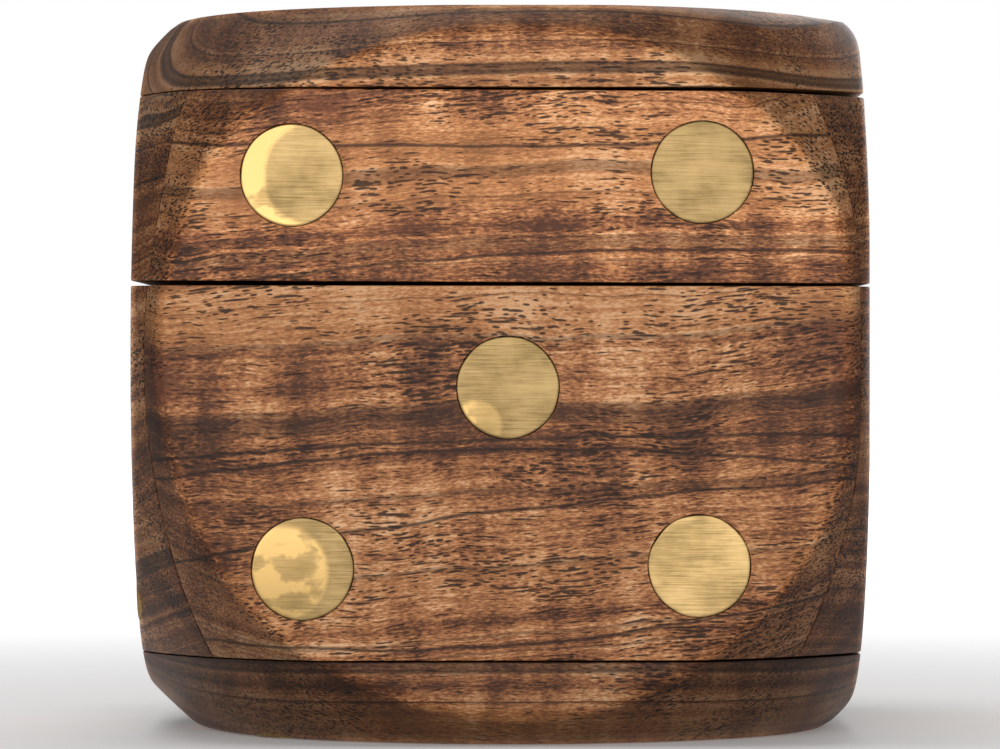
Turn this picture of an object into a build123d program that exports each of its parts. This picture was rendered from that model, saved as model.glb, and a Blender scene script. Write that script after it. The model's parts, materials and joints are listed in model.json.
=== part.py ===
from build123d import *
import os
from math import sqrt

# A hand-made wooden box in the shape of a rounded die, with inlaid brass pips, a lid that turns on two
# small butt hinges at the back, and five small dice inside. Millimetres. The origin is at the middle of
# the face that the box rests on, +Z is up, and the front (the "5" face) looks towards -Y.
os.makedirs("parts", exist_ok=True)

# The box: a glued-up cube, rounded to a sphere, then sawn into a body and a lid
side = 75.0
half = side / 2
base_thickness = 8.5
top_thickness = 8.5
wall_thickness = 9.5
inside = half - wall_thickness
round_radius = 51.7
round_centre = (0.9, 0.0, half + 0.6)

# Joint lines between the boards, as heights above the rest plane at the left and right faces
glue_line = 0.05
body_low = (base_thickness + 0.10, base_thickness + 0.22)
body_high = (46.50, 46.40)
lid_low = (47.00, 46.68)
lid_high = (side - top_thickness - 0.10, side - top_thickness - 0.50)

# Brass pips, discs cut from round rod and let in flush
pip_diameter = 10.3
pip_depth = 2.5
pip_clearance = 0.06
pip_pitch = 20.3
front_pip_places = [(-21.0, 20.1), (20.4, 20.4), (0.8, -1.3), (-19.9, -19.6), (20.1, -19.3)]

# Butt hinges: leaves let into the edges of the two back walls, barrel just behind the back face
hinge_places = (-18.0, 18.0)
hinge_length = 14.0
leaf_thickness = 0.8
leaf_gap = 0.1
leaf_reach = 8.3
barrel_radius = 1.6
barrel_stand_off = 1.75
axis_y = half + barrel_stand_off
axis_z = 46.65
pin_radius = 0.7
pin_head_radius = 1.1
pin_head_thickness = 0.4
pin_clearance = 0.05
knuckle_gap = 0.15
knuckle_root = 2.1
let_in_clearance = 0.08

# Countersunk brass screws
screw_offset = 4.2
screw_y = half - 4.2
screw_head_radius = 1.4
screw_head_depth = 0.7
screw_shank_radius = 0.75
screw_length = 6.5
screw_point = 1.2
screw_slot_width = 0.35
screw_slot_depth = 0.3
screw_slot_turn = 25
screw_clearance = 0.03

# Small dice, loose on the floor of the box
die_side = 16.0
die_round_radius = 11.4
die_pip_diameter = 2.4
die_pip_depth = 0.8
die_pip_clearance = 0.03
die_pip_pitch = 4.0
die_float = 0.03
die_places = [
    # x, y, turn about Z, turn about X, turn about Y
    (-16.4, -15.6, 7.0, 0, 0),
    (15.8, -16.0, -11.0, 90, 0),
    (0.6, 0.8, 21.0, 0, 90),
    (-15.9, 16.3, -6.0, 180, 0),
    (16.5, 15.7, 12.0, 0, 270),
]

# Pip patterns, in steps of the pip pitch, for a face seen from outside with its up direction up
patterns = {
    1: [(0, 0)],
    2: [(-1, 1), (1, -1)],
    3: [(-1, 1), (0, 0), (1, -1)],
    4: [(-1, 1), (1, 1), (-1, -1), (1, -1)],
    5: [(-1, 1), (1, 1), (0, 0), (-1, -1), (1, -1)],
    6: [(-1, 1), (1, 1), (-1, 0), (1, 0), (-1, -1), (1, -1)],
}

# The number on each face, with the face's outward direction and the direction of its first step
die_faces = {
    "front": (5, (0, -1, 0), (1, 0, 0)),
    "back": (2, (0, 1, 0), (-1, 0, 0)),
    "left": (3, (-1, 0, 0), (0, -1, 0)),
    "right": (4, (1, 0, 0), (0, 1, 0)),
    "top": (1, (0, 0, 1), (1, 0, 0)),
    "base": (6, (0, 0, -1), (1, 0, 0)),
}


def slab(low, high):
    """A block between two corners."""
    size = [h - l for l, h in zip(low, high)]
    middle = [(h + l) / 2 for l, h in zip(low, high)]
    return Pos(*middle) * Box(*size)


def rod(radius, start, direction, length):
    """A round rod from a point, along a direction."""
    return extrude(Plane(start, z_dir=direction) * Circle(radius), length)


def rounding():
    """The sphere that the edges and corners of the glued-up cube are rounded to."""
    return Pos(*round_centre) * Sphere(round_radius)


def band(low, high):
    """A level of the box, between heights that differ a little at the left and right faces."""
    corners = [(-half, low[0]), (half, low[1]), (half, high[1]), (-half, high[0])]
    face = Plane.XZ * make_face(Polyline(*corners, close=True))
    return extrude(face, half, both=True)


def mitred_wall(outward):
    """A quarter of the square frame of walls, cut at 45 degrees, on the side that outward points to."""
    back_off = glue_line / sqrt(2)
    outline = [
        (inside, -inside + back_off),
        (side, -side + back_off),
        (side, side - back_off),
        (inside, inside - back_off),
    ]
    turn = {"right": 0, "back": 90, "left": 180, "front": 270}[outward]
    return Rot(0, 0, turn) * extrude(make_face(Polyline(*outline, close=True)), side)


def face_frame(face_name, spread, centre_height):
    """The plane of a face of a die: its middle, its outward normal and its first step direction."""
    number, normal, across = die_faces[face_name]
    middle = [spread * n for n in normal]
    middle[2] += centre_height
    return number, Plane(middle, x_dir=across, z_dir=normal)


def pip_places(face_name):
    """Pip centres on a face of the box, across and up from the middle of the face."""
    number = die_faces[face_name][0]
    if face_name == "front":
        return front_pip_places
    return [(u * pip_pitch, v * pip_pitch) for u, v in patterns[number]]


def pip_discs(radius):
    """Every pip of the box as a disc of the given radius, by name."""
    discs = {}
    for face_name in die_faces:
        _, plane = face_frame(face_name, half, half)
        for count, (u, v) in enumerate(pip_places(face_name), 1):
            disc = plane * Pos(u, v, -pip_depth) * extrude(Circle(radius), pip_depth)
            discs[f"{face_name}_pip_{count}"] = disc
    return discs


def hinge_barrel(x, length, radius):
    """A round length of hinge barrel, centred at x on the hinge axis."""
    return rod(radius, (x - length / 2, axis_y, axis_z), (1, 0, 0), length)


def knuckle_spans(x):
    """The barrel split in three: the body leaf has the outer knuckles and the lid leaf the middle one."""
    third = hinge_length / 3
    width = third - knuckle_gap
    outer = [(x - third - knuckle_gap / 2, width), (x + third + knuckle_gap / 2, width)]
    return {"body": outer, "lid": [(x, width)]}


def leaf_heights(part):
    """The bottom and top of a hinge leaf: the body's lies just under the axis, the lid's just over it."""
    if part == "body":
        return axis_z - leaf_gap / 2 - leaf_thickness, axis_z - leaf_gap / 2
    return axis_z + leaf_gap / 2, axis_z + leaf_gap / 2 + leaf_thickness


def screw_at(x, part, grow=0.0):
    """A countersunk wood screw through a hinge leaf, into the wall under it or over it."""
    low, high = leaf_heights(part)
    down = -1 if part == "body" else 1
    surface = high if part == "body" else low
    head_plane = Plane((x, screw_y, surface), z_dir=(0, 0, down))
    shank_radius = screw_shank_radius + grow
    profile = [
        (0, 0),
        (screw_head_radius + grow, 0),
        (shank_radius, screw_head_depth + grow),
        (shank_radius, screw_length - screw_point),
        (0, screw_length + grow),
    ]
    half_section = Plane.XZ * make_face(Polyline(*profile, close=True))
    return head_plane * revolve(half_section, Axis.Z)


def screw_slot(x, part):
    """The straight driver slot in a screw's head."""
    low, high = leaf_heights(part)
    reach = screw_head_radius * 2
    surface = high if part == "body" else low
    place = Pos(x, screw_y, surface) * Rot(0, 0, screw_slot_turn)
    return place * Box(reach, screw_slot_width, screw_slot_depth * 2)


def screw_xs(x):
    """Where the two screws of a leaf stand along the hinge."""
    return [x - screw_offset, x + screw_offset]


def hinge_leaf(x, part):
    """One leaf with its knuckles, its pin hole and its countersunk screw holes."""
    low, high = leaf_heights(part)
    left, right = x - hinge_length / 2, x + hinge_length / 2
    plate = slab((left, axis_y - leaf_reach, low), (right, axis_y, high))
    leaf = plate - hinge_barrel(x, hinge_length * 2, barrel_stand_off)
    for middle, width in knuckle_spans(x)[part]:
        root = slab(
            (middle - width / 2, axis_y - knuckle_root, low),
            (middle + width / 2, axis_y, high),
        )
        leaf = leaf + root + hinge_barrel(middle, width, barrel_radius)
    leaf = leaf - hinge_barrel(x, hinge_length * 2, pin_radius + pin_clearance)
    for screw_x in screw_xs(x):
        leaf = leaf - screw_at(screw_x, part, screw_clearance)
    return leaf


def hinge_pin(x):
    """The pin, headed over at both ends of the barrel."""
    pin = hinge_barrel(x, hinge_length + pin_head_thickness, pin_radius)
    for end in (-1, 1):
        head_x = x + end * (hinge_length + pin_head_thickness) / 2
        pin = pin + hinge_barrel(head_x, pin_head_thickness, pin_head_radius)
    return pin


def hinge_recess(x, part):
    """The shallow housing that a leaf is let into, open at the back of the wall."""
    low, high = leaf_heights(part)
    edge = hinge_length / 2 + let_in_clearance
    inner = axis_y - leaf_reach - let_in_clearance
    if part == "body":
        return slab((x - edge, inner, low - let_in_clearance), (x + edge, side, axis_z))
    return slab((x - edge, inner, axis_z), (x + edge, side, high + let_in_clearance))


def wood_screw_holes(x, part):
    """The holes that the screws make in the wall behind a leaf."""
    return [screw_at(screw_x, part, screw_clearance) for screw_x in screw_xs(x)]


def build_walls(pip_holes):
    """The eight walls: four in the body, four in the lid, sawn apart at the parting line."""
    levels = {"body": band(body_low, body_high), "lid": band(lid_low, lid_high)}
    walls = {}
    for part, level in levels.items():
        for face_name in ("front", "back", "left", "right"):
            wall = level & mitred_wall(face_name) & rounding()
            for name, hole in pip_holes.items():
                if name.startswith(face_name):
                    wall = wall - hole
            if face_name == "back":
                for x in hinge_places:
                    wall = wall - hinge_recess(x, part)
                    for hole in wood_screw_holes(x, part):
                        wall = wall - hole
            walls[f"{part}_{face_name}_wall"] = wall
    return walls


def build_boards(pip_holes):
    """The base board and the lid's top board, with the pip holes in their faces."""
    base = slab((-half, -half, 0), (half, half, base_thickness)) & rounding()
    top = slab((-half, -half, side - top_thickness), (half, half, side)) & rounding()
    for name, hole in pip_holes.items():
        if name.startswith("base"):
            base = base - hole
        if name.startswith("top"):
            top = top - hole
    return {"base_board": base, "lid_top_board": top}


def die_pip_discs(radius):
    """The twenty-one pips of a small die, as discs about a die centred at the origin."""
    discs = []
    for face_name in die_faces:
        number, plane = face_frame(face_name, die_side / 2, 0)
        for u, v in patterns[number]:
            place = Pos(u * die_pip_pitch, v * die_pip_pitch, -die_pip_depth)
            discs.append(plane * place * extrude(Circle(radius), die_pip_depth))
    return discs


def build_dice():
    """Five dice, each rounded like the box, turned to show different numbers."""
    cube = Box(die_side, die_side, die_side) & Sphere(die_round_radius)
    for hole in die_pip_discs(die_pip_diameter / 2 + die_pip_clearance):
        cube = cube - hole
    pips = die_pip_discs(die_pip_diameter / 2)
    height = base_thickness + die_float + die_side / 2
    dice = {}
    for count, (x, y, about_z, about_x, about_y) in enumerate(die_places, 1):
        place = Pos(x, y, height) * Rot(0, 0, about_z) * Rot(about_x, about_y, 0)
        dice[f"die_{count}"] = place * cube
        dice[f"die_{count}_pips"] = Compound(children=[place * pip for pip in pips])
    return dice


def build_hinges():
    """Both hinges, with their screws grouped by the wall that they go into."""
    pieces = {}
    for hinge_name, x in zip(("left", "right"), hinge_places):
        pieces[f"{hinge_name}_hinge_body_leaf"] = hinge_leaf(x, "body")
        pieces[f"{hinge_name}_hinge_lid_leaf"] = hinge_leaf(x, "lid")
        pieces[f"{hinge_name}_hinge_pin"] = hinge_pin(x)
    for part in ("body", "lid"):
        screws = []
        for x in hinge_places:
            screws += [screw_at(screw_x, part) - screw_slot(screw_x, part) for screw_x in screw_xs(x)]
        pieces[f"{part}_hinge_screws"] = Compound(children=screws)
    return pieces


def build_all():
    pip_holes = pip_discs(pip_diameter / 2 + pip_clearance)
    pieces = {}
    pieces.update(build_boards(pip_holes))
    pieces.update(build_walls(pip_holes))
    for name, disc in pip_discs(pip_diameter / 2).items():
        pieces[name] = disc & rounding()
    pieces.update(build_hinges())
    pieces.update(build_dice())
    return pieces


for node, shape in build_all().items():
    export_step(shape, f"parts/{node}.step")
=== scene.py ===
import json
from math import cos, pi, radians, sin, sqrt

import bmesh
import bpy
import numpy as np
from mathutils import Matrix, Vector


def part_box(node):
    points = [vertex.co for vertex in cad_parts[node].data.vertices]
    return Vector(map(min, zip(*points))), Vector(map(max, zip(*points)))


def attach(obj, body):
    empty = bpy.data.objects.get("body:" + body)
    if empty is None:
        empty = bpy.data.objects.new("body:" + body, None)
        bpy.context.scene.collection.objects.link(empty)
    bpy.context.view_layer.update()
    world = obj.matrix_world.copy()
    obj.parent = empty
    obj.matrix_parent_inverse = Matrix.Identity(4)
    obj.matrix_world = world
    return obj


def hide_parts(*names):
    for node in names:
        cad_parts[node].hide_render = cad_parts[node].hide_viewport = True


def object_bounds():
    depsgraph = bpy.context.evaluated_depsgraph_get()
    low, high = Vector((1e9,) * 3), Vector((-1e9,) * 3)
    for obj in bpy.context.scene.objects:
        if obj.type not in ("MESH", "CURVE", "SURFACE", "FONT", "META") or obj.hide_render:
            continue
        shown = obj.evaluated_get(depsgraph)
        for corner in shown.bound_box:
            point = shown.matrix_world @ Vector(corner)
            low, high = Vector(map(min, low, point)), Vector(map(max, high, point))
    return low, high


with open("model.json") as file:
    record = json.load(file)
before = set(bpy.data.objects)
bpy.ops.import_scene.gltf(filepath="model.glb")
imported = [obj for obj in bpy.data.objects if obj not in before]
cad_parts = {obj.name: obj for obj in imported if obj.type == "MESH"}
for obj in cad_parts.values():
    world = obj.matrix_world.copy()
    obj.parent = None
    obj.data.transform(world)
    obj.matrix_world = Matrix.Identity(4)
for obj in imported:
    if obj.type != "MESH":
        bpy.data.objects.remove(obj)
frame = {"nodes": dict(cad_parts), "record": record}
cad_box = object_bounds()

# A wooden box shaped like a rounded die. The box's own lengths are in millimetres, and become metres in
# new_piece(). The studio round it is in metres.
MM = 0.001
HALF = cad_box[1].x / MM
HEIGHT = cad_box[1].z / MM
CENTRE = np.array((0.0, 0.0, HEIGHT / 2))

# The rounding: one sphere, hand sanded, so it is fuller towards some corners and fainter at others
ROUND_RADIUS = 51.7
ROUND_CENTRE = CENTRE + (0.9, 0.0, 0.6)
ROUND_LUMPS = [
    # direction, how much fuller, spread as the cosine's fall
    ((1, -0.1, 1), 1.1, 0.16),
    ((-1, -0.1, 1), -0.5, 0.16),
    ((-1, -0.1, -1), -1.0, 0.16),
    ((1, -0.1, -1), -0.4, 0.12),
    ((0, -1, 1), -0.8, 0.10),
    ((0, -1, -1), -0.2, 0.10),
    ((1, -1, 1), 0.6, 0.06),
    ((-1, -0.97, 0.84), 2.0, 0.015),
]

# Height of the small waves all over the rounding
RIPPLE = 0.10

# How softly the flat faces meet the rounding, each other, and the joints
CREASE = 0.7
EDGE_ROUNDING = 4.0
ARRIS = 0.16

# Mesh spacing, the finer rows along the edges of each board, where the rows on a level face start and how far
# in they go, the distance within which points are merged, and the halvings that find the end of a ray
STEP = 0.42
FINE_STEPS = [0.0, 0.04, 0.09, 0.15, 0.24]
FLAT_START = HALF - 1.6
FLAT_WIDTH = 6.5
MERGE = 0.002
HALVINGS = 34

WALL_THICKNESS = 9.5
WALL_INSIDE = HALF - WALL_THICKNESS
MITRE_GAP = 0.06

# Joint lines: height at the left face, then how much the line rises on its way to the right face
LID_LOW_RISE = -0.32
BODY_LOW = (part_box("body_left_wall")[0].z / MM, 0.12)
BODY_HIGH = (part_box("body_left_wall")[1].z / MM, -0.10)
LID_LOW = (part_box("lid_right_wall")[0].z / MM - LID_LOW_RISE, LID_LOW_RISE)
LID_HIGH = (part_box("lid_left_wall")[1].z / MM, -0.40)

# Pips: gap round them, flare at the mouth of their holes, how far their middles lie below the face and their
# rims below their middles, how uneven their outlines are, and the rings their crowns are built from
PIP_SEGMENTS = 72
PIP_GAP = 0.07
HOLE_FLARE = 0.05
PIP_SUNK = 0.01
PIP_DROP = 0.04
PIP_UNEVEN = 0.0016
OUTLINE_WAVES = 8
CROWN_RINGS = (0.2, 0.4, 0.6, 0.75, 0.88, 0.96)

# Hinge housings: gap round a leaf, and from the hinge axis to the housing's floor
HOUSING_GAP = 0.08
HOUSING_DEPTH = 0.93
CUTTER_EXCESS = 5.0

# Outward direction of each face, and its first step direction; the second is up, or away on a level face
FACES = {
    "front": ((0, -1, 0), (1, 0, 0)),
    "back": ((0, 1, 0), (-1, 0, 0)),
    "left": ((-1, 0, 0), (0, -1, 0)),
    "right": ((1, 0, 0), (0, 1, 0)),
    "top": ((0, 0, 1), (1, 0, 0)),
    "base": ((0, 0, -1), (1, 0, 0)),
}
BODY_OF = {node: body for body, nodes in frame["record"]["behaviour"]["bodies"].items() for node in nodes}


# ---------------------------------------------------------------- shape of the rounded cube


def smooth_max(a, b, width):
    """The larger of two distances, blended over a width, which rounds the edge where they meet."""
    overlap = np.maximum(width - np.abs(a - b), 0) / width
    return np.maximum(a, b) + overlap * overlap * width / 4


def rounding_radius(direction):
    """The sanded sphere's radius in each direction."""
    radius = np.full(len(direction), ROUND_RADIUS)
    for towards, fuller, spread in ROUND_LUMPS:
        aim = np.array(towards) / np.linalg.norm(towards)
        radius += fuller * np.exp((direction @ aim - 1) / spread)
    ripple = np.sin(direction @ (9.0, 4.0, -6.0)) + np.sin(direction @ (-5.0, 8.0, 7.0) + 2.0)
    return radius + RIPPLE * ripple


def outside_cube(points):
    """Distance outside the rounded cube, negative inside it."""
    x, y, z = np.abs(points - CENTRE).T
    cube = smooth_max(smooth_max(x, y, EDGE_ROUNDING), z, EDGE_ROUNDING) - HALF
    from_centre = points - ROUND_CENTRE
    distance = np.linalg.norm(from_centre, axis=1)
    ball = distance - rounding_radius(from_centre / distance[:, None])
    return smooth_max(cube, ball, CREASE)


def seam_height(seam, x):
    """Height of a joint line at x."""
    left, rise = seam
    return left + rise * (x + HALF) / (2 * HALF)


def cast(origins, directions, outside, reach):
    """Where rays from inside a solid reach its surface, found by halving."""
    near = np.zeros(len(origins))
    far = np.full(len(origins), float(reach))
    for _ in range(HALVINGS):
        middle = (near + far) / 2
        beyond = outside(origins + directions * middle[:, None]) > 0
        far = np.where(beyond, middle, far)
        near = np.where(beyond, near, middle)
    return origins + directions * near[:, None]


def graded(length):
    """Steps from 0 to length: fine next to both ends, to follow their broken edges, and even between."""
    inner = FINE_STEPS[-1]
    count = max(2, round((length - 2 * inner) / STEP))
    middle = np.linspace(inner, length - inner, count + 1)
    ends = np.array(FINE_STEPS[:-1])
    return np.concatenate([ends, middle, length - ends[::-1]])


def new_piece(name, vertices, faces):
    """A mesh object from points in millimetres, with its faces turned outwards."""
    mesh = bpy.data.meshes.new(name)
    mesh.from_pydata([tuple(v) for v in np.asarray(vertices) * MM], [], faces)
    built = bmesh.new()
    built.from_mesh(mesh)
    bmesh.ops.remove_doubles(built, verts=built.verts, dist=MERGE * MM)
    bmesh.ops.recalc_face_normals(built, faces=built.faces)
    built.to_mesh(mesh)
    built.free()
    piece = bpy.data.objects.new(name, mesh)
    bpy.context.scene.collection.objects.link(piece)
    return piece


def smooth(piece, sharp_angle=34):
    """Smooth shading, with edges sharper than an angle left sharp."""
    piece.data.polygons.foreach_set("use_smooth", [True] * len(piece.data.polygons))
    piece.data.set_sharp_from_angle(angle=radians(sharp_angle))


def cut(piece, cutters):
    """Takes the cutters' shapes out of a piece, and removes them."""
    for cutter in cutters:
        tool = piece.modifiers.new("cut", "BOOLEAN")
        tool.operation = "DIFFERENCE"
        tool.solver = "EXACT"
        tool.object = cutter
    bpy.context.view_layer.update()
    shaped = piece.evaluated_get(bpy.context.evaluated_depsgraph_get())
    mesh = bpy.data.meshes.new_from_object(shaped)
    piece.modifiers.clear()
    piece.data = mesh
    for cutter in cutters:
        bpy.data.objects.remove(cutter)


def stands_for(piece, node, material):
    """The piece takes a CAD node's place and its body."""
    piece.data.materials.clear()
    piece.data.materials.append(material)
    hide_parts(node)
    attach(piece, BODY_OF[node])


# ---------------------------------------------------------------- boards


def wall(name, face, low, high):
    """One mitred wall: its outside follows the rounded cube, and its inside is flat."""
    normal, across = (np.array(v, float) for v in FACES[face])
    spread = (graded(2 * HALF) - HALF) * (1 - MITRE_GAP / HALF)
    rays = normal[None] * HALF + across[None] * spread[:, None]
    rim_x = rays[:, 0]
    rays = rays / np.linalg.norm(rays, axis=1)[:, None]
    bottoms, tops = seam_height(low, rim_x), seam_height(high, rim_x)
    rows = graded(high[0] - low[0]) / (high[0] - low[0])

    # How far inside the nearest edge of the wall each ray comes out, as a negative distance
    heights = bottoms[:, None] + (tops - bottoms)[:, None] * rows
    to_mitre = (np.abs(spread) - HALF) / sqrt(2) + MITRE_GAP / sqrt(2)
    to_seam = np.maximum(bottoms[:, None] - heights, heights - tops[:, None])
    edges = np.minimum(np.maximum(to_mitre[:, None], to_seam), 0).ravel()

    origins = np.zeros((heights.size, 3))
    origins[:, 2] = heights.ravel()
    directions = np.repeat(rays, len(rows), axis=0)
    skin = cast(origins, directions, lambda p: smooth_max(outside_cube(p), edges, ARRIS), 2 * HALF)
    skin = skin.reshape(len(rays), len(rows), 3)
    vertices, loop = [], len(rows) + 2
    for ray, bottom, top, outer in zip(rays, bottoms, tops, skin):
        inner = ray * (WALL_INSIDE / (ray @ normal))
        vertices.append((inner[0], inner[1], bottom))
        vertices.extend(outer)
        vertices.append((inner[0], inner[1], top))
    faces = []
    for i in range(len(rays) - 1):
        for j in range(loop):
            k = (j + 1) % loop
            faces.append((i * loop + j, i * loop + k, (i + 1) * loop + k, (i + 1) * loop + j))
    faces.append(tuple(range(loop)))
    faces.append(tuple(range((len(rays) - 1) * loop, len(rays) * loop)))
    return new_piece(name, vertices, faces)


def board(name, seam, up):
    """The top board (up is 1) or the base board (up is -1): its seam is level and its far side is flat."""
    thickness = HEIGHT - seam if up > 0 else seam

    def outside(points):
        return smooth_max(outside_cube(points), (seam - points[:, 2]) * up, ARRIS)

    # Up the side, without the fine rows next to the flat side, and then in over it
    rises = graded(thickness)[:1 - len(FINE_STEPS)]
    flat_in = np.arange(STEP, FLAT_WIDTH, STEP)
    profile = [(HALF, r) for r in rises] + [(FLAT_START - f, thickness) for f in flat_in]
    columns = len(np.arange(0, 2 * pi, STEP / HALF))
    turns = np.linspace(0, 2 * pi, columns + 1)[:-1]
    directions = []
    for turn in turns:
        side = 1 / max(abs(cos(turn)), abs(sin(turn)))
        for radius, rise in profile:
            reach = radius * (side if radius == HALF else 1)
            directions.append((cos(turn) * reach, sin(turn) * reach, rise * up))
    directions = np.array(directions)
    directions /= np.linalg.norm(directions, axis=1)[:, None]
    origins = np.tile((0, 0, seam), (len(directions), 1)).astype(float)
    vertices = cast(origins, directions, outside, 2 * HALF)
    rows = len(profile)
    faces = []
    for i in range(len(turns)):
        n = (i + 1) % len(turns)
        for j in range(rows - 1):
            faces.append((i * rows + j, n * rows + j, n * rows + j + 1, i * rows + j + 1))
    faces.append(tuple(i * rows for i in range(len(turns))))
    faces.append(tuple(i * rows + rows - 1 for i in range(len(turns))))
    return new_piece(name, vertices, faces)


# ---------------------------------------------------------------- brass pips


def face_matrix(face, centre):
    """The frame of a disc on a face: X across, Y up, Z outwards, at the middle of its outer side."""
    normal, across = (Vector(v) for v in FACES[face])
    up = normal.cross(across)
    turned = Matrix((across, up, normal)).transposed().to_4x4()
    return Matrix.Translation(centre) @ turned


def turned_disc(name, profile, place, outline=None):
    """A solid turned from (radius, height) points that start and end on its axis."""
    segments = PIP_SEGMENTS
    vertices, faces = [(0, 0, profile[0][1])], []
    rings = profile[1:-1]
    for radius, height in rings:
        for k in range(segments):
            turn = 2 * pi * k / segments
            r = radius * (outline(turn) if outline else 1)
            vertices.append((r * cos(turn), r * sin(turn), height))
    vertices.append((0, 0, profile[-1][1]))
    last = len(vertices) - 1
    for k in range(segments):
        n = (k + 1) % segments
        faces.append((0, 1 + k, 1 + n))
        for ring in range(len(rings) - 1):
            a, b = 1 + ring * segments, 1 + (ring + 1) * segments
            faces.append((a + k, b + k, b + n, a + n))
        a = 1 + (len(rings) - 1) * segments
        faces.append((a + n, a + k, last))
    placed = [tuple(place @ Vector(v)) for v in vertices]
    return new_piece(name, placed, faces)


def pip_place(node):
    """The frame of a box pip's outer side, in millimetres, with the disc's radius and depth."""
    low, high = (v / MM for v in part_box(node))
    face = node.split("_")[0]
    normal = Vector(FACES[face][0])
    middle = (low + high) / 2
    size = high - low
    depth = abs(size.dot(normal))
    radius = max(size) / 2
    return face_matrix(face, middle + normal * depth / 2), radius, depth


def pip_hole(node):
    """A cutter for the hole that a box pip sits in, a little flared at its mouth."""
    place, radius, depth = pip_place(node)
    hole = radius + PIP_GAP
    mouth = hole + HOLE_FLARE
    profile = [(0, 1), (mouth, 1), (mouth, 0), (hole, -PIP_GAP), (hole, -depth), (0, -depth)]
    return turned_disc(node + "_hole", profile, place)


def pip(node, material, seed):
    """A brass disc with a hand-cut outline, slightly domed by the sanding."""
    place, radius, depth = pip_place(node)
    phase = np.random.default_rng(seed).uniform(0, 2 * pi, OUTLINE_WAVES)
    uneven = np.random.default_rng(seed + 100).normal(0, 1, OUTLINE_WAVES)

    def outline(turn):
        wave = sum(uneven[n] * sin((n + 2) * turn + phase[n]) for n in range(OUTLINE_WAVES))
        return 1 + PIP_UNEVEN * wave

    rim = PIP_DROP * 1.1
    crown = [(radius * t, -PIP_SUNK - PIP_DROP * t * t) for t in CROWN_RINGS]
    edge = [(radius * 0.99, -PIP_SUNK - rim), (radius, -5 * PIP_SUNK - rim)]
    bottom = 2 * PIP_SUNK - depth
    profile = [(0, -PIP_SUNK)] + crown + edge + [(radius, bottom), (0, bottom)]
    piece = turned_disc(node + "_disc", profile, place, outline)
    smooth(piece, sharp_angle=50)
    stands_for(piece, node, material)


# ---------------------------------------------------------------- materials


class Shader:
    """A material's nodes, with short calls for the few kinds that the materials here use."""

    def __init__(self, name):
        self.material = bpy.data.materials.new(name)
        self.material.use_nodes = True
        self.tree = self.material.node_tree
        self.surface = self.tree.nodes["Principled BSDF"]

    def node(self, kind, inputs=(), **settings):
        made = self.tree.nodes.new(kind)
        for key, value in settings.items():
            setattr(made, key, value)
        for key, value in dict(inputs).items():
            self.put(made.inputs[key], value)
        return made

    def put(self, socket, value):
        if isinstance(value, bpy.types.NodeSocket):
            self.tree.links.new(value, socket)
        else:
            socket.default_value = value

    def give(self, name, value):
        """Sets or links an input of the surface."""
        self.put(self.surface.inputs[name], value)

    def math(self, operation, a, b=0.0, c=0.0):
        return self.node("ShaderNodeMath", {0: a, 1: b, 2: c}, operation=operation).outputs[0]

    def plus(self, a, b):
        return self.math("ADD", a, b)

    def minus(self, a, b):
        return self.math("SUBTRACT", a, b)

    def times(self, a, b):
        return self.math("MULTIPLY", a, b)

    def times_plus(self, a, b, c):
        return self.math("MULTIPLY_ADD", a, b, c)

    def larger(self, a, b):
        return self.math("MAXIMUM", a, b)

    def size(self, value):
        return self.math("ABSOLUTE", value)

    def distance(self, a, b):
        return self.math("SQRT", self.plus(self.times(a, a), self.times(b, b)))

    def vector(self, x, y, z):
        return self.node("ShaderNodeCombineXYZ", {0: x, 1: y, 2: z}).outputs[0]

    def stretched(self, at, lengthwise, crosswise, operation="MULTIPLY"):
        """A place, scaled along its first axis and, by another number, along the other two."""
        factors = (lengthwise, crosswise, crosswise)
        return self.vector(*(self.math(operation, a, factor) for a, factor in zip(at, factors)))

    def noise(self, at, detail=2.0, roughness=0.5):
        inputs = {"Vector": at, "Scale": 1.0, "Detail": detail, "Roughness": roughness}
        return self.node("ShaderNodeTexNoise", inputs).outputs[0]

    def line_noise(self, at, detail=2.0, roughness=0.5):
        inputs = {"W": at, "Scale": 1.0, "Detail": detail, "Roughness": roughness}
        return self.node("ShaderNodeTexNoise", inputs, noise_dimensions="1D").outputs[0]

    def cells(self, at):
        return self.node("ShaderNodeTexVoronoi", {"Vector": at, "Scale": 1.0}, feature="F1").outputs[0]

    def between(self, value, low, high, to_low=0.0, to_high=1.0):
        """A smooth step of a value between two limits."""
        inputs = {"Value": value, "From Min": low, "From Max": high, "To Min": to_low, "To Max": to_high}
        made = self.node("ShaderNodeMapRange", inputs, interpolation_type="SMOOTHSTEP", clamp=True)
        return made.outputs[0]

    def ramp(self, value, stops):
        made = self.node("ShaderNodeValToRGB", {0: value})
        ramp = made.color_ramp
        while len(ramp.elements) < len(stops):
            ramp.elements.new(0.5)
        for element, (position, color) in zip(ramp.elements, stops):
            element.position = position
            element.color = (*color, 1.0)
        return made.outputs[0]

    def mix(self, amount, a, b, blend="MIX"):
        made = self.node("ShaderNodeMix", data_type="RGBA", blend_type=blend)
        self.put(made.inputs["Factor"], amount)
        for socket, value in ((made.inputs["A"], a), (made.inputs["B"], b)):
            self.put(socket, value if isinstance(value, bpy.types.NodeSocket) else (*value, 1.0))
        return made.outputs["Result"]

    def bump(self, height, distance, strength):
        inputs = {"Height": height, "Distance": distance, "Strength": strength}
        return self.node("ShaderNodeBump", inputs).outputs[0]

    def object_mm(self):
        """Object coordinates in millimetres, as x, y and z."""
        at = self.node("ShaderNodeTexCoord").outputs["Object"]
        scaled = self.node("ShaderNodeVectorMath", {0: at, "Scale": 1 / MM}, operation="SCALE").outputs[0]
        parts = self.node("ShaderNodeSeparateXYZ", {0: scaled}).outputs
        return parts[0], parts[1], parts[2]


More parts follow.
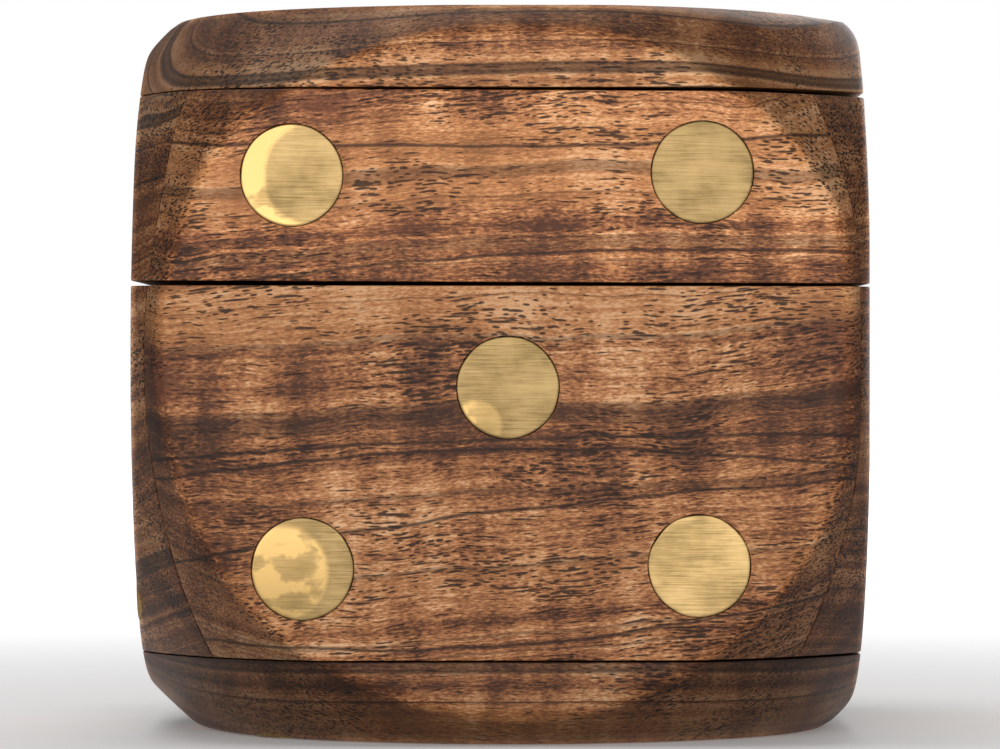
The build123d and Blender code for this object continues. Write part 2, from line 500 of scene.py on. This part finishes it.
def srgb(text):
    """Linear colour from a hex string."""
    values = [int(text[i:i + 2], 16) / 255 for i in (0, 2, 4)]
    return tuple(v / 12.92 if v <= 0.04045 else ((v + 0.055) / 1.055) ** 2.4 for v in values)


WOOD_TONES = [
    # tone, colour
    (0.28, srgb("4b2c1b")),
    (0.40, srgb("6f4529")),
    (0.50, srgb("98643f")),
    (0.62, srgb("bd8657")),
    (0.78, srgb("e4bb92")),
]
PORE_COLOR = srgb("24130b")
RED_WOOD = srgb("6a3d28")
GOLD_WOOD = srgb("b07c4c")
OIL_TINT = (1.03, 0.94, 0.87)

# Length and width of the cells that hold one pore each, and how much of a cell a pore fills where there are
# few and where they crowd
PORES = [(6.0, 0.48, 0.18, 0.31), (2.8, 0.38, 0.16, 0.33), (1.3, 0.34, 0.08, 0.36)]

# The rounded zones are darker than the flat faces, partly from a darker stain and partly as painted shade:
# their colour is multiplied by this
STAIN_AND_PAINTED_SHADE = 0.42

# How light or dark each board is. In the table, the lid's front wall is lighter as painted sheen, the base
# board darker as painted shade underneath, and the top board lighter
WALL_LIGHTNESS = 1.06
BOARD_LIGHTNESS_SHEEN_SHADE = {"lid_front_wall": 1.42, "lid_top_board": 1.20, "base_board": 0.82}
DIE_LIGHTNESS = 1.15

# How far the grain and the rings shift from one board to the next
GRAIN_SHIFT = 17.3
RING_SHIFT = 31.0

# Long dark growth lines across the front walls: height at the middle, slope and bend
GROWTH_LINES = {
    "body_front_wall": [
        (30.9, 0.035, -0.0006),
        (29.9, 0.02, -0.0018),
        (23.6, 0.125, -0.0009),
        (10.2, 0.07, 0.0026),
    ],
    "lid_front_wall": [(60.5, 0.01, 0.0008), (49.5, 0.06, -0.0015)],
}


def wandering_grain(s, plain, at):
    """The place across the grain, following its rise and its waves, and the small waves by themselves."""
    rise = s.times(plain, s.times_plus(plain, 0.0004, -0.055))
    slow = s.minus(s.noise(s.stretched(at, 0.018, 0.03), detail=1.0), 0.5)
    small = s.minus(s.noise(s.stretched(at, 0.10, 0.16)), 0.5)
    bent = s.plus(s.plus(at[1], rise), s.times(slow, 7.0))
    return s.plus(bent, s.times(small, 1.5)), small


def growth_lines(s, ring, plain, face, small, lines):
    """Thin dark lines: some that follow the rings anywhere, and the long ones that are named."""
    line = s.size(s.minus(s.line_noise(s.times(ring, 0.16), detail=1.0), 0.5))
    dark = s.times(s.between(line, 0.002, 0.016, 1.0, 0.0), 0.5 if lines else 0.8)
    for height, slope, bend in lines:
        course = s.times_plus(plain, s.times_plus(plain, bend, slope), height)
        off = s.minus(s.times_plus(small, 1.1, face), course)
        dark = s.larger(dark, s.between(s.size(off), 0.04, 0.30, 0.85, 0.0))
    return dark


def pores(s, fibres):
    """Pores: long thin ones, and short ones where they crowd."""
    ragged = s.minus(s.noise(s.stretched(fibres, 1.1, 2.6), detail=1.0), 0.5)
    crowd = s.noise(s.stretched(fibres, 0.05, 0.13), detail=1.5)
    drawn = []
    for length, width, few, many in PORES:
        cell = s.cells(s.stretched(fibres, length, width, "DIVIDE"))
        inside = s.minus(s.between(crowd, 0.38, 0.62, few, many), cell)
        drawn.append(s.between(s.times_plus(ragged, 0.22, inside), -0.02, 0.11))
    return s.larger(s.larger(drawn[0], drawn[1]), drawn[2])


def shade_stain_and_oil(s, x, y, z, stain_shade, lightness):
    """Darker where the surface is inside the cube's faces, which is on the rounded zones: partly a darker
    stain, partly painted shade.
    """
    farthest = s.larger(s.larger(s.size(x), s.size(y)), s.size(s.minus(z, HEIGHT / 2)))
    shade = s.times(s.between(farthest, HALF - 0.8, HALF - 0.02, stain_shade, 1.0), lightness)
    return s.vector(*(s.times(shade, tint) for tint in OIL_TINT))


def wood(name, grain, seed, pith, lightness=1.0, lines=(), stain_shade=STAIN_AND_PAINTED_SHADE):
    """Oiled and varnished hardwood: growth rings round a pith line, pores along the grain, and figure.

    grain names the axes for along the grain, across the face and into the face."""
    s = Shader(name)
    axes = dict(zip("xyz", s.object_mm()))
    plain, face, deep = (axes[axis] for axis in grain)
    along = s.plus(plain, GRAIN_SHIFT * seed)
    at = (along, face, deep)
    bent, small = wandering_grain(s, plain, at)
    fibres = (along, bent, deep)

    ring = s.plus(s.distance(s.minus(bent, pith[0]), s.minus(deep, pith[1])), RING_SHIFT * seed)
    broad = s.line_noise(s.times(ring, 0.085), detail=1.5)
    narrow = s.line_noise(s.times(ring, 0.75), detail=3.0, roughness=0.65)
    fibre = s.noise(s.stretched(fibres, 0.35, 5.0), detail=3.0, roughness=0.65)
    figure = s.noise(s.stretched(at, 0.21, 0.06), detail=3.0, roughness=0.6)
    drift = s.noise(s.stretched(at, 0.035, 0.06), detail=2.5)
    fleck = s.noise(s.stretched(fibres, 1.6, 5.5), roughness=0.7)

    tone = s.plus(s.times(broad, 0.45), s.times(narrow, 0.55))
    for layer, amount in ((figure, 0.70), (fibre, 0.50), (drift, 0.45), (fleck, 0.75)):
        tone = s.plus(tone, s.times(s.minus(layer, 0.5), amount))
    color = s.ramp(tone, WOOD_TONES)
    color = s.mix(s.between(drift, 0.42, 0.30, 0.0, 0.5), color, RED_WOOD)
    color = s.mix(s.between(broad, 0.50, 0.66, 0.0, 0.35), color, GOLD_WOOD)
    dark = growth_lines(s, ring, plain, face, small, lines)
    color = s.mix(s.times(dark, 0.95), color, PORE_COLOR)
    pore = pores(s, fibres)
    color = s.mix(s.times(pore, 0.90), color, PORE_COLOR)
    # The rounded zones are darkened here, partly by a darker stain and partly by painted shade
    stain_shade_oil = shade_stain_and_oil(s, axes["x"], axes["y"], axes["z"], stain_shade, lightness)

    s.give("Base Color", s.mix(1.0, color, stain_shade_oil, "MULTIPLY"))
    s.give("Roughness", s.between(fibre, 0.2, 0.8, 0.36, 0.52))
    s.give("Normal", s.bump(s.minus(s.times(fibre, 0.35), pore), 0.05 * MM, 0.6))
    s.give("Specular IOR Level", 0.20)
    s.give("Coat Weight", 0.05)
    s.give("Coat Roughness", 0.25)
    return s.material


# Lighter, smoother areas on the front's pips: smoother as real polish, lighter as a painted reflection.
# Columns: a circle's middle across and up, its radius, and whether the area is inside it or outside it
GLEAMS = {
    "front_pip_1": (-18.5, 57.8, 5.2, False),
    "front_pip_3": (-2.4, 32.4, 2.4, True),
    "front_pip_4": (-22.0, 17.6, 4.6, True),
}

# How much lighter or darker than the others some of the front's pips are: brighter or dimmer reflections
# painted into their brass colour
PIP_REFLECTION_BRIGHTNESS = {"front_pip_2": 0.84, "front_pip_3": 0.87, "front_pip_4": 0.90, "front_pip_5": 1.38}

BRASS_TONES = [(0.38, srgb("786440")), (0.50, srgb("a08558")), (0.62, srgb("bb9e6c"))]
BRASS_REFLECTION_COLOR = srgb("c8a468")
BRASS_SHIFT = 13.7


def polish_and_reflection(s, x, z, cloud, gleam):
    """1 where a gleam is, its polish and its painted reflection, with a soft, uneven edge, and 0 elsewhere.
    """
    across, up, radius, inside = gleam
    distance = s.distance(s.minus(x, across), s.minus(z, up))
    distance = s.times_plus(cloud, 0.8, distance)
    ends = (1.0, 0.0) if inside else (0.0, 1.0)
    return s.between(distance, radius, radius + 0.9, *ends)


def brass(name, seed, roughness=0.32, gleam=None, reflection_brightness=1.0):
    """Brass, with fine sanding lines along X and a little tarnish."""
    s = Shader(name)
    x, y, z = s.object_mm()
    at = (s.plus(x, BRASS_SHIFT * seed), y, z)
    lines = s.noise(s.stretched(at, 0.22, 8.0), detail=3.0, roughness=0.65)
    cloud = s.noise(s.stretched(at, 0.25, 0.3), detail=3.0)
    tone = s.plus(s.times(lines, 0.5), s.times(cloud, 0.5))
    color = s.ramp(tone, BRASS_TONES)
    rough = s.between(tone, 0.3, 0.7, roughness - 0.06, roughness + 0.08)
    brushed = lines
    # A gleam: real polish, smoother with fainter lines, and a painted reflection in a lighter brass colour
    if gleam:
        polished_reflecting = polish_and_reflection(s, x, z, cloud, gleam)
        painted_reflection = s.times(polished_reflecting, s.between(cloud, 0.40, 0.47, 0.30, 1.0))
        color = s.mix(painted_reflection, color, BRASS_REFLECTION_COLOR)
        rough = s.times(rough, s.between(polished_reflecting, 0.0, 1.0, 1.0, 0.45))
        brushed = s.times(lines, s.between(polished_reflecting, 0.0, 1.0, 1.0, 0.1))
    # Brighter or dimmer reflections of some front pips are painted into the colour here
    s.give("Base Color", s.mix(1.0, color, (reflection_brightness, reflection_brightness, reflection_brightness), "MULTIPLY"))
    s.give("Metallic", 1.0)
    s.give("Roughness", rough)
    s.give("Normal", s.bump(brushed, 0.014 * MM, 0.8))
    return s.material


# ---------------------------------------------------------------- building the box


# Where the centre of the tree was, across the face and into it
WALL_PITH = (-70.0, 20.0)
BOARD_PITH = (-30.0, 100.0)
DIE_PITH = (-15.0, 8.0)


def build_wall(part, face, low, high, seed):
    """A wall of the body or the lid, with holes for its pips and housings for its hinges."""
    node = f"{part}_{face}_wall"
    piece = wall(node + "_board", face, low, high)
    pips = [n for n in frame["nodes"] if n.startswith(face + "_pip_")]
    cutters = [pip_hole(n) for n in pips if BODY_OF[n] == BODY_OF[node]]
    if face == "back":
        cutters += [hinge_housing(side, part) for side in ("left", "right")]
    cut(piece, cutters)
    smooth(piece)
    grain = "yzx" if face in ("left", "right") else "xzy"
    # The lid's front wall gets painted sheen here
    lightness = BOARD_LIGHTNESS_SHEEN_SHADE.get(node, WALL_LIGHTNESS)
    lines = GROWTH_LINES.get(node, ())
    stands_for(piece, node, wood("wood_" + node, grain, seed, WALL_PITH, lightness, lines))


def build_board(node, face, seam, up, seed):
    """The top board or the base board, with holes for its pips."""
    piece = board(node + "_wood", seam, up)
    cut(piece, [pip_hole(n) for n in frame["nodes"] if n.startswith(face + "_pip_")])
    smooth(piece)
    # The base board gets painted shade here
    stands_for(piece, node, wood("wood_" + node, "xyz", seed, BOARD_PITH, BOARD_LIGHTNESS_SHEEN_SHADE[node]))


def build_boards():
    """The ten boards."""
    for part, low, high, shift in (("body", BODY_LOW, BODY_HIGH, 0.0), ("lid", LID_LOW, LID_HIGH, 0.37)):
        for number, face in enumerate(("front", "back", "left", "right"), 1):
            build_wall(part, face, low, high, number + shift)
    build_board("lid_top_board", "top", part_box("lid_top_board")[0].z / MM, 1, seed=7)
    build_board("base_board", "base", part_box("base_board")[1].z / MM, -1, seed=8)


def hinge_housing(side, part):
    """A cutter for the shallow housing that a hinge leaf is let into."""
    low, high = (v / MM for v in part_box(f"{side}_hinge_{part}_leaf"))
    axis_z = (low.z + high.z) / 2
    floor = axis_z - HOUSING_DEPTH if part == "body" else axis_z
    roof = axis_z if part == "body" else axis_z + HOUSING_DEPTH
    corners = [
        (x, y, z)
        for x in (low.x - HOUSING_GAP, high.x + HOUSING_GAP)
        for y in (low.y - HOUSING_GAP, high.y + CUTTER_EXCESS)
        for z in (floor, roof)
    ]
    faces = [(0, 1, 3, 2), (4, 6, 7, 5), (0, 4, 5, 1), (2, 3, 7, 6), (0, 2, 6, 4), (1, 5, 7, 3)]
    return new_piece(f"{side}_{part}_housing", corners, faces)


def build_pips():
    """The twenty-one pips of the box, each with its own brass."""
    for seed, node in enumerate(sorted(n for n in frame["nodes"] if "_pip_" in n), 1):
        reflection_brightness = PIP_REFLECTION_BRIGHTNESS.get(node, 1.0)
        pip(node, brass("brass_" + node, seed, gleam=GLEAMS.get(node), reflection_brightness=reflection_brightness), seed)


def finish_hardware():
    """The hinges, their screws and the small dice keep their own shapes, with brass and wood on them."""
    metal = brass("brass_hinge", 40, 0.28)
    die_metal = brass("brass_die_pips", 41, 0.30)
    for node, piece in frame["nodes"].items():
        if "hinge" in node:
            finish = metal
        elif node.endswith("_pips"):
            finish = die_metal
        elif node.startswith("die_"):
            finish = wood("wood_" + node, "xzy", 20 + int(node[-1]), DIE_PITH, DIE_LIGHTNESS, stain_shade=1.0)
        else:
            continue
        piece.data.materials.clear()
        piece.data.materials.append(finish)


# ---------------------------------------------------------------- camera, lights and floor


def area_light(name, place, aim, size, power):
    """A soft rectangular light, aimed at a point."""
    light = bpy.data.lights.new(name, "AREA")
    light.shape = "RECTANGLE"
    light.size, light.size_y = size
    light.energy = power
    lamp = bpy.data.objects.new(name, light)
    lamp.location = place
    lamp.rotation_euler = (Vector(aim) - Vector(place)).to_track_quat("-Z", "Y").to_euler()
    bpy.context.scene.collection.objects.link(lamp)


def set_floor():
    """A pale floor just under the box, which glows: faintly next to the box and more brightly away from it.
    """
    bpy.ops.mesh.primitive_plane_add(size=12, location=(0, 0, -0.05 * MM))
    floor = bpy.context.object
    floor.name = "floor"
    s = Shader("floor")
    x, y, _ = s.object_mm()
    s.give("Base Color", (0.93, 0.93, 0.93, 1))
    s.give("Roughness", 0.9)
    s.give("Specular IOR Level", 0.1)
    # The floor glows, though it is no lamp, more brightly away from the box
    s.give("Emission Color", (1, 1, 1, 1))
    s.give("Emission Strength", s.between(s.distance(x, y), 50.0, 450.0, 0.12, 0.85))
    floor.data.materials.append(s.material)


def set_surroundings():
    """White behind the box, but dimmer as a light on it."""
    world = bpy.data.worlds.new("studio")
    world.use_nodes = True
    bpy.context.scene.world = world
    nodes, links = world.node_tree.nodes, world.node_tree.links
    background = nodes["Background"]
    background.inputs["Color"].default_value = (1, 1, 1, 1)
    seen = nodes.new("ShaderNodeLightPath").outputs["Is Camera Ray"]
    strength = nodes.new("ShaderNodeMapRange")
    strength.inputs["To Min"].default_value = 0.25
    strength.inputs["To Max"].default_value = 1.0
    links.new(seen, strength.inputs["Value"])
    links.new(strength.outputs[0], background.inputs["Strength"])
    bpy.context.scene.view_settings.view_transform = "Standard"


def set_lights():
    """A large soft light from the front, one from overhead and one from behind."""
    middle = (0, 0, HEIGHT / 2 * MM)
    area_light("key", (-0.08, -1.30, 0.26), middle, (1.2, 0.9), 7)
    area_light("overhead", (-0.2, 0.1, 1.3), middle, (1.0, 1.0), 6)
    area_light("rear", (0.5, 1.4, 0.5), middle, (1.0, 0.8), 5)


def set_camera():
    """Level and straight on to the front, from 600 mm."""
    camera = bpy.data.cameras.new("camera")
    camera.sensor_width = 36
    camera.lens = 201
    holder = bpy.data.objects.new("camera", camera)
    holder.location = (0, -0.600, HEIGHT / 2 * MM)
    holder.rotation_euler = (pi / 2, 0, 0)
    bpy.context.scene.collection.objects.link(holder)
    bpy.context.scene.camera = holder


set_floor()
set_surroundings()
set_lights()
set_camera()
build_boards()
build_pips()
finish_hardware()
